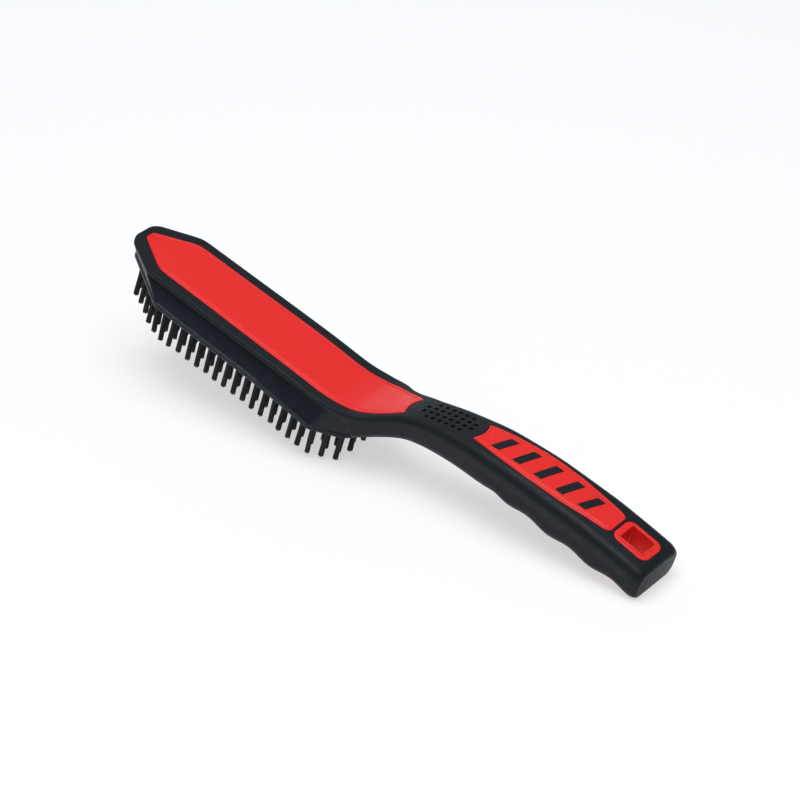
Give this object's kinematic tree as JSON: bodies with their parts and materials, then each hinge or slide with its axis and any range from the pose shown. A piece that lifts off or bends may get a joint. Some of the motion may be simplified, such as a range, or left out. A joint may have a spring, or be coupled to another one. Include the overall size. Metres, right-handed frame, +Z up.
{
  "type": "wheel brush",
  "caption": "Long-handled hand brush with a flat hexagonal head, dense short bristle tufts, a cranked soft grip with finger waves, colour inlays and a hang hole.",
  "frame": {"origin": "centre of the bounding box's base, on the surface that the brush lies on", "axes": "+X from the nose of the head to the butt of the handle, +Y across the brush, +Z up; the brush lies bristles down, tipped 15.3 degrees nose up, on its heel tufts and its butt"},
  "size_m": [0.4016, 0.064, 0.0905],
  "materials": {
    "grip_black": "matte soft-touch thermoplastic rubber",
    "core_black": "moulded polypropylene",
    "inlay_red": "satin moulded plastic",
    "bar_black": "satin moulded plastic",
    "block_black": "satin moulded polypropylene",
    "bristle_black": "nylon filament tufts"
  },
  "bodies": {
    "root": {"grip_overmould": "grip_black", "core_frame": "core_black", "head_inlay": "inlay_red", "handle_inlay": "inlay_red", "hang_hole_liner": "inlay_red", "panel_bar_1": "bar_black", "panel_bar_2": "bar_black", "panel_bar_3": "bar_black", "panel_bar_4": "bar_black", "panel_bar_5": "bar_black", "brush_block": "block_black", "bristle_row_01": "bristle_black", "bristle_row_02": "bristle_black", "bristle_row_03": "bristle_black", "bristle_row_04": "bristle_black", "bristle_row_05": "bristle_black", "bristle_row_06": "bristle_black", "bristle_row_07": "bristle_black", "bristle_row_08": "bristle_black", "bristle_row_09": "bristle_black", "bristle_row_10": "bristle_black", "bristle_row_11": "bristle_black", "bristle_row_12": "bristle_black", "bristle_row_13": "bristle_black", "bristle_row_14": "bristle_black", "bristle_row_15": "bristle_black", "bristle_row_16": "bristle_black", "bristle_row_17": "bristle_black", "bristle_row_18": "bristle_black", "bristle_row_19": "bristle_black", "bristle_row_20": "bristle_black", "bristle_row_21": "bristle_black", "bristle_row_22": "bristle_black", "bristle_row_23": "bristle_black", "bristle_row_24": "bristle_black"}
  },
  "joints": []
}
